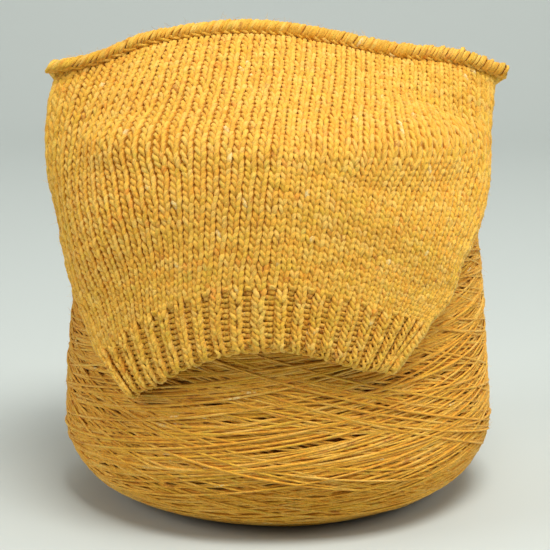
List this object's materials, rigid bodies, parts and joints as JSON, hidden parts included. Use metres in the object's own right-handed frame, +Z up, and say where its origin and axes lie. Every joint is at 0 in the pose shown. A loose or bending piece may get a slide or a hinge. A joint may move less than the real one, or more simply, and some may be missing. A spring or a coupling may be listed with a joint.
{
  "type": "merino yarn cone with knitted sample panel",
  "caption": "Large cross-wound cone of merino yarn standing on its base, with a knitted panel of the same yarn draped over its nose and front.",
  "frame": {"origin": "centre of the cone's flat base, where it rests on the ground", "axes": "+Z up along the axis of the cone, -Y towards the front that the panel covers, +X to the viewer's right"},
  "size_m": [0.1799, 0.1782, 0.1893],
  "materials": {
    "wound_yarn": "matte mustard tweed wool, cross-wound strands",
    "knitted_yarn": "matte mustard tweed wool, knitted"
  },
  "bodies": {
    "root": {"wound_yarn": "wound_yarn", "knitted_panel": "knitted_yarn"}
  },
  "joints": []
}
